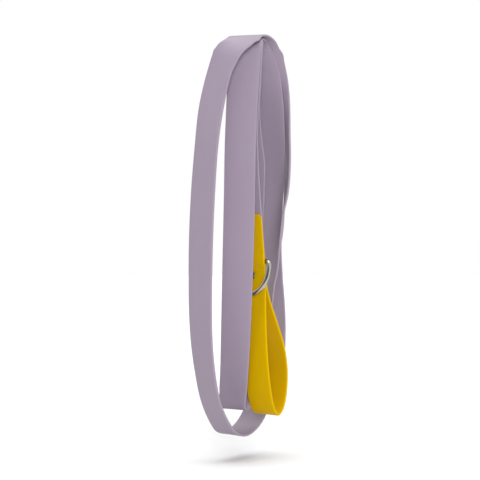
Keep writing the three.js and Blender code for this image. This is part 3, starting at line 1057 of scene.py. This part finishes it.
# ---------------------------------------------------------------- snap hook
@dataclass
class SnapHook:
    """The swivel bolt snap: an eye, a hook that turns in it, and a sprung bolt with its thumb knob.

    Heights are measured from the axis of the eye's upper bar, and pairs of them go from the upper
    one to the lower. The hook's own frame is turned half round, so that the knob is on the side away
    from the handle.
    """

    axis: tuple[float, float, float] = EYE_AXIS
    turn: float = EYE_TURN
    eye_wire: float = 3.6 * MM
    eye_half_width: float = 14.8 * MM
    eye_drop: float = 10.0 * MM
    boss: tuple[float, float] = (-6.6 * MM, -13.6 * MM)
    boss_radius: float = 4.5 * MM
    stem_head: tuple[float, float] = (-4.7 * MM, -6.2 * MM)
    shoulder: tuple[float, float] = (-14.0 * MM, -19.0 * MM)
    barrel: tuple[float, float] = (-14.0 * MM, -33.0 * MM)
    bore_top: float = -16.0 * MM
    bolt_offset: float = 6.5 * MM
    bolt_radius: float = 2.0 * MM
    bore_radius: float = 2.25 * MM
    stem_radius: float = 2.2 * MM
    boss_bore: float = 2.4 * MM
    bridge_radius: float = 2.9 * MM
    slot: tuple[float, float] = (-22.2 * MM, -30.8 * MM)
    slot_half: float = 1.5 * MM
    knob_neck: float = 1.2 * MM
    bolt: tuple[float, float] = (-26.0 * MM, -40.1 * MM)
    knob_height: float = -29.0 * MM
    hook_bar: float = 4.8 * MM
    hook_bend: float = -43.0 * MM
    hook_tip: float = -40.4 * MM
    voxel: float = 0.28 * MM

    def hook_frame(self) -> Matrix:
        """Gives the hook's frame."""
        return frame_at(self.axis, self.turn + 180)

    @staticmethod
    def lathe(outline: Profile, x: float = 0.0, sides: int = 40) -> Mesh:
        """Turns an upright part.

        Args:
            outline: Pairs of height and radius, from one end to the other.
            x: Distance across.
            sides: Points round the part.

        Returns:
            The part.
        """
        upright = Matrix.Translation((x, 0, 0)) @ Matrix.Rotation(math.radians(-90), 4, "Y")
        return turned(outline, upright, sides)

    def rod(self, radius: float, low: float, high: float, x: float = 0.0) -> Mesh:
        """Makes an upright rod.

        Args:
            radius: The rod's radius.
            low: Height of its lower end.
            high: Height of its upper end.
            x: Distance across.

        Returns:
            The rod.
        """
        return self.lathe([(low, 0.0), (low, radius), (high, radius), (high, 0.0)], x)

    def eye(self) -> Object:
        """Casts the eye and bores its boss for the hook's stem."""
        w, d, bend = self.eye_half_width, -self.eye_drop, 3 * MM
        near = 0.8 * MM
        corner = [(w - bend, 0), (w - near, -near), (w, -bend)]
        half = [*corner, *[(x, d - z) for x, z in reversed(corner)]]
        loop = [(0, 0), *half, (0, d), *[(-x, z) for x, z in reversed(half)]]
        path = smooth_path([(x, 0.0, z) for x, z in loop], 0.7 * MM, closed=True)
        frame_wire = sweep(path, self.eye_wire / 2, 20, closed=True)
        top, low, r = *self.boss, self.boss_radius
        outline = [
            (low, 0.0), (low, r - 0.3 * MM), (low + 1.2 * MM, r), (top - 1.0 * MM, r),
            (top, r - 0.8 * MM), (top, 0.0),
        ]
        collar = self.lathe(rounded(outline, 0.5 * MM))
        made = welded("swivel_eye_casting", [frame_wire, collar], self.voxel, 6)
        bored(made, [self.rod(self.boss_bore, -20 * MM, -2 * MM)])
        made.data.transform(frame_at(self.axis, self.turn))
        made.data.materials.append(CAST_PLATE.material())
        return settle(made, "eye", "nickel_casting", "swivel_eye")

    def body(self) -> Object:
        """Casts the hook with its stem and bolt housing, and cuts the bore, the slot and the seat."""
        b, arm = self.bolt_offset, self.hook_bar / 2
        middle = (self.shoulder[0] + self.shoulder[1]) / 2 - 0.4 * MM
        neck, under = self.stem_head
        stem = self.rod(self.stem_radius, self.shoulder[0] - 2 * MM, neck - 0.5 * MM)
        outline = [
            (under, 0.0), (under, 3.5 * MM), (neck - 0.4 * MM, 3.3 * MM), (neck, 1.6 * MM),
            (neck + 0.15 * MM, 0.0),
        ]
        head = self.lathe(rounded(outline, 0.4 * MM))
        across = np.array([(x, 0.0, middle) for x in np.linspace(-b, b, 12)])
        bridge = sweep(across, self.bridge_radius, 28, closed=False)
        r = self.bridge_radius
        ball = [(r * math.cos(a), r * math.sin(a)) for a in np.linspace(math.pi, 0, 13)]
        ends = [turned(ball, Matrix.Translation((x, 0, middle)), 32) for x in (-b, b)]
        top, low = self.barrel
        outline = [
            (low, 0.0), (low, 4.0 * MM), (low + 1.6 * MM, 4.0 * MM), (low + 2.0 * MM, 3.75 * MM),
            (top - 2.2 * MM, 3.75 * MM), (top, 2.6 * MM), (top, 0.0),
        ]
        housing = self.lathe(rounded(outline, 0.7 * MM), b)
        bend = [
            (-b * math.cos(a), 0.0, self.hook_bend - b * math.sin(a)) for a in np.linspace(0, math.pi, 13)
        ]
        spine = [
            (-b, 0.0, self.shoulder[0] - 3 * MM), (-b, 0.0, -30 * MM), (-b, 0.0, -38 * MM), *bend,
            (b, 0.0, self.hook_tip),
        ]
        claw = sweep(smooth_path(spine, 0.8 * MM), arm, 28, closed=False)
        made = welded("hook_casting", [stem, head, bridge, *ends, housing, claw], self.voxel, 6)
        bored(
            made,
            [
                self.rod(self.bore_radius, -36 * MM, self.bore_top, b),
                self.slot_cutter(),
                self.rod(1.5 * MM, self.hook_tip - 0.6 * MM, self.hook_tip + 1 * MM, b),
            ],
        )
        made.data.transform(self.hook_frame())
        made.data.materials.append(CAST_PLATE.material())
        return settle(made, "hook", "nickel_casting", "hook_body")

    def slot_cutter(self) -> Mesh:
        """Makes the long slot that the knob's neck slides in, with round ends."""
        high, low, half = *self.slot, self.slot_half
        start, end = self.bolt_offset + 0.2 * MM, self.bolt_offset + 6.2 * MM
        outline = [
            (half * math.cos(a), (low + half if a >= math.pi else high - half) + half * math.sin(a))
            for a in [*np.linspace(0, math.pi, 9) * 0.9999, *np.linspace(math.pi, 2 * math.pi, 9)]
        ]
        rings = [[(x, y, z) for y, z in outline] for x in (start, end)]
        return skin(rings, [[0.0] * len(outline)] * 2, [0.0, end - start])

    def pin(self) -> Object:
        """Turns the bolt, with a bevelled nose, and cross-drills it for the knob."""
        low, high = self.bolt[1], self.bolt[0]
        r = self.bolt_radius
        outline = [
            (low, 0.0), (low, r - 0.6 * MM), (low + 0.6 * MM, r), (high - 0.3 * MM, r),
            (high, r - 0.3 * MM), (high, 0.0),
        ]
        blank = self.lathe(rounded(outline, 0.2 * MM), self.bolt_offset, 48)
        made = piece("slide_bolt_turned", blank, [])
        hole = turned(
            [(0.0, 0.0), (0.0, 1.3 * MM), (4 * MM, 1.3 * MM), (4 * MM, 0.0)],
            Matrix.Translation((self.bolt_offset + 0.7 * MM, 0, self.knob_height)),
            24,
        )
        bored(made, [hole])
        made.data.transform(self.hook_frame())
        made.data.materials.append(TURNED_PLATE.material())
        return settle(made, "bolt", "nickel_turned", "slide_bolt")

    def knob(self) -> Object:
        """Turns the thumb knob: a neck and a dished head."""
        outline = [
            (0.85 * MM, 0.0), (0.85 * MM, self.knob_neck), (4.7 * MM, self.knob_neck), (4.7 * MM, 2.4 * MM),
            (5.1 * MM, 2.8 * MM), (6.0 * MM, 2.8 * MM), (6.5 * MM, 2.3 * MM), (6.5 * MM, 1.6 * MM),
            (6.2 * MM, 0.9 * MM), (6.15 * MM, 0.0),
        ]
        mesh = turned(
            rounded(outline, 0.25 * MM), Matrix.Translation((self.bolt_offset, 0, self.knob_height)), 40
        )
        mesh.set_sharp_from_angle(angle=math.radians(40))
        mesh.transform(self.hook_frame())
        made = piece("thumb_knob_turned", mesh, [TURNED_PLATE.material()])
        return settle(made, "bolt", "nickel_turned", "thumb_knob")

    def spring(self) -> Object:
        """Winds the bolt's spring, with its end turns closed up."""
        turns, coil, wire = 6.5, 1.55 * MM, 0.26 * MM
        top, bottom = self.bore_top - 0.45 * MM, self.bolt[0] + 0.45 * MM
        path = []
        for s in np.linspace(0, 1, 200):
            a = s * turns * 2 * math.pi
            share = s - 0.6 / (2 * math.pi) * math.sin(2 * math.pi * s)
            x, y = self.bolt_offset + coil * math.cos(a), coil * math.sin(a)
            path.append((x, y, top + (bottom - top) * share))
        mesh = sweep(np.array(path), wire, 10, closed=False)
        for face in mesh.polygons:
            face.material_index = 0
        mesh.transform(self.hook_frame())
        made = piece("bolt_spring_coil", mesh, [SPRING_WIRE.material()])
        settle(made, "hook", "spring_steel", "bolt_spring")
        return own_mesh(made)

    def make(self) -> list[Object]:
        """Builds, dresses and places every part of the snap hook."""
        return [self.eye(), self.body(), self.pin(), self.knob(), self.spring()]


# ---------------------------------------------------------------- studio
@dataclass
class Studio:
    """The white room: a floor just under the lead, a lamp overhead, one in front, and the camera."""

    camera_place: tuple[float, float, float] = (0.0, -1.15, -0.1472)
    lens: float = 107.8
    sensor: float = 36.0
    floor_height: float = -0.3232
    floor_size: float = 12.0
    overhead: float = 2.45
    overhead_spread: float = 60.0
    front: float = 2.1
    front_spread: float = 30.0
    front_place: tuple[float, float, float] = (0.12, -1.0, 0.25)
    room: float = 0.2
    room_mirrored: float = 1.0
    behind_camera: float = 0.04
    # The room is dark behind the camera: it starts to lighten where a unit direction's Y is the first
    # of these, and has its full strength where it is the second.
    dark_to_full: tuple[float, float] = (-0.96, -0.5)

    def camera(self) -> None:
        """Places the camera level with the middle of the lead."""
        data = bpy.data.cameras.new("camera")
        data.lens, data.sensor_width = self.lens, self.sensor
        data.clip_start, data.clip_end = 0.05, 50.0
        made = bpy.data.objects.new("camera", data)
        made.location = self.camera_place
        made.rotation_euler = (math.radians(90), 0, 0)
        bpy.context.scene.collection.objects.link(made)
        bpy.context.scene.camera = made

    def floor(self) -> None:
        """Lays the pale floor."""
        half = self.floor_size / 2
        mesh = bpy.data.meshes.new("floor")
        corners = [(-half, -half), (half, -half), (half, half), (-half, half)]
        mesh.from_pydata([(x, y, self.floor_height) for x, y in corners], [], [(0, 1, 2, 3)])
        material, tree = blank_material("white_painted_floor")
        shader = add_node(tree, "ShaderNodeBsdfDiffuse", {"Color": linear("#fafafa"), "Roughness": 0.4})
        add_node(tree, "ShaderNodeOutputMaterial", {}, {"Surface": shader.outputs["BSDF"]})
        piece("floor", mesh, [material])

    @staticmethod
    def lamp(name: str, energy: float, spread: float, place: Sequence[float]) -> Object:
        """Hangs one broad lamp that shines on the lead.

        Args:
            name: The lamp's name.
            energy: Its strength.
            spread: How broad it looks from the lead, in degrees.
            place: Which way it is from the lead.

        Returns:
            The lamp.
        """
        data = bpy.data.lights.new(name, "SUN")
        data.energy, data.angle = energy, math.radians(spread)
        made = bpy.data.objects.new(name, data)
        made.rotation_euler = Vector(place).to_track_quat("Z", "Y").to_euler()
        bpy.context.scene.collection.objects.link(made)
        return made

    def lights(self) -> None:
        """Hangs the lamps and fills the room, darker behind the camera and brighter in the metal."""
        self.lamp("overhead", self.overhead, self.overhead_spread, (0, 0, 1))
        self.lamp("front", self.front, self.front_spread, self.front_place).visible_glossy = False
        world = bpy.data.worlds.new("white_room")
        bpy.context.scene.world = world
        world.use_nodes = True
        tree = world.node_tree
        tree.nodes.clear()
        way = add_node(tree, "ShaderNodeTexCoord")
        parts = add_node(tree, "ShaderNodeSeparateXYZ", {}, {"Vector": way.outputs["Generated"]})
        seen = add_node(tree, "ShaderNodeLightPath")
        level = add_node(
            tree,
            "ShaderNodeMapRange",
            {
                "interpolation_type": "SMOOTHSTEP",
                "From Min": self.dark_to_full[0],
                "From Max": self.dark_to_full[1],
                "To Min": self.behind_camera,
                "To Max": 1.0,
            },
            {"Value": parts.outputs["Y"]},
        )
        share = add_node(
            tree,
            "ShaderNodeMapRange",
            {"To Min": self.room, "To Max": self.room_mirrored},
            {"Value": seen.outputs["Is Glossy Ray"]},
        )
        strength = add_node(
            tree,
            "ShaderNodeMath",
            {"operation": "MULTIPLY"},
            {0: level.outputs["Result"], 1: share.outputs["Result"]},
        )
        white = {"Color": (1, 1, 1, 1)}
        room = add_node(tree, "ShaderNodeBackground", white, {"Strength": strength.outputs["Value"]})
        backdrop = add_node(tree, "ShaderNodeBackground", white | {"Strength": 1.0})
        both = add_node(
            tree,
            "ShaderNodeMixShader",
            {},
            {
                "Fac": seen.outputs["Is Camera Ray"],
                1: room.outputs["Background"],
                2: backdrop.outputs["Background"],
            },
        )
        add_node(tree, "ShaderNodeOutputWorld", {}, {"Surface": both.outputs["Shader"]})
        bpy.context.scene.view_settings.view_transform = "Standard"

    def make(self) -> None:
        """Sets up the camera, the floor and the lights."""
        self.camera()
        self.floor()
        self.lights()


def main() -> None:
    """Builds the lead piece by piece."""
    Studio().make()
    lead = Strap("lead_strap", STRAP_ROUTE, LILAC)
    strap = lead.make("main_strap", "lilac_coated_webbing")
    handle = Strap("handle_loop_webbing", HANDLE_ROUTE, YELLOW, corner=5 * MM, spacing=1.2 * MM)
    handle.make("handle_strap", "yellow_coated_webbing")
    tab = HookEndTab("hook_end_webbing", [], YELLOW, corner=5 * MM, spacing=0.8 * MM)
    on_the_end = [tab.make("hook_end_strap", "yellow_coated_webbing")]
    for rivet in RIVETS:
        parts = rivet.make()
        if rivet.name.startswith("tab"):
            on_the_end.extend(parts)
    DRing().make()
    on_the_end.extend(SnapHook().make())


if __name__ == "__main__":
    logging.basicConfig(level=logging.INFO)
    main()
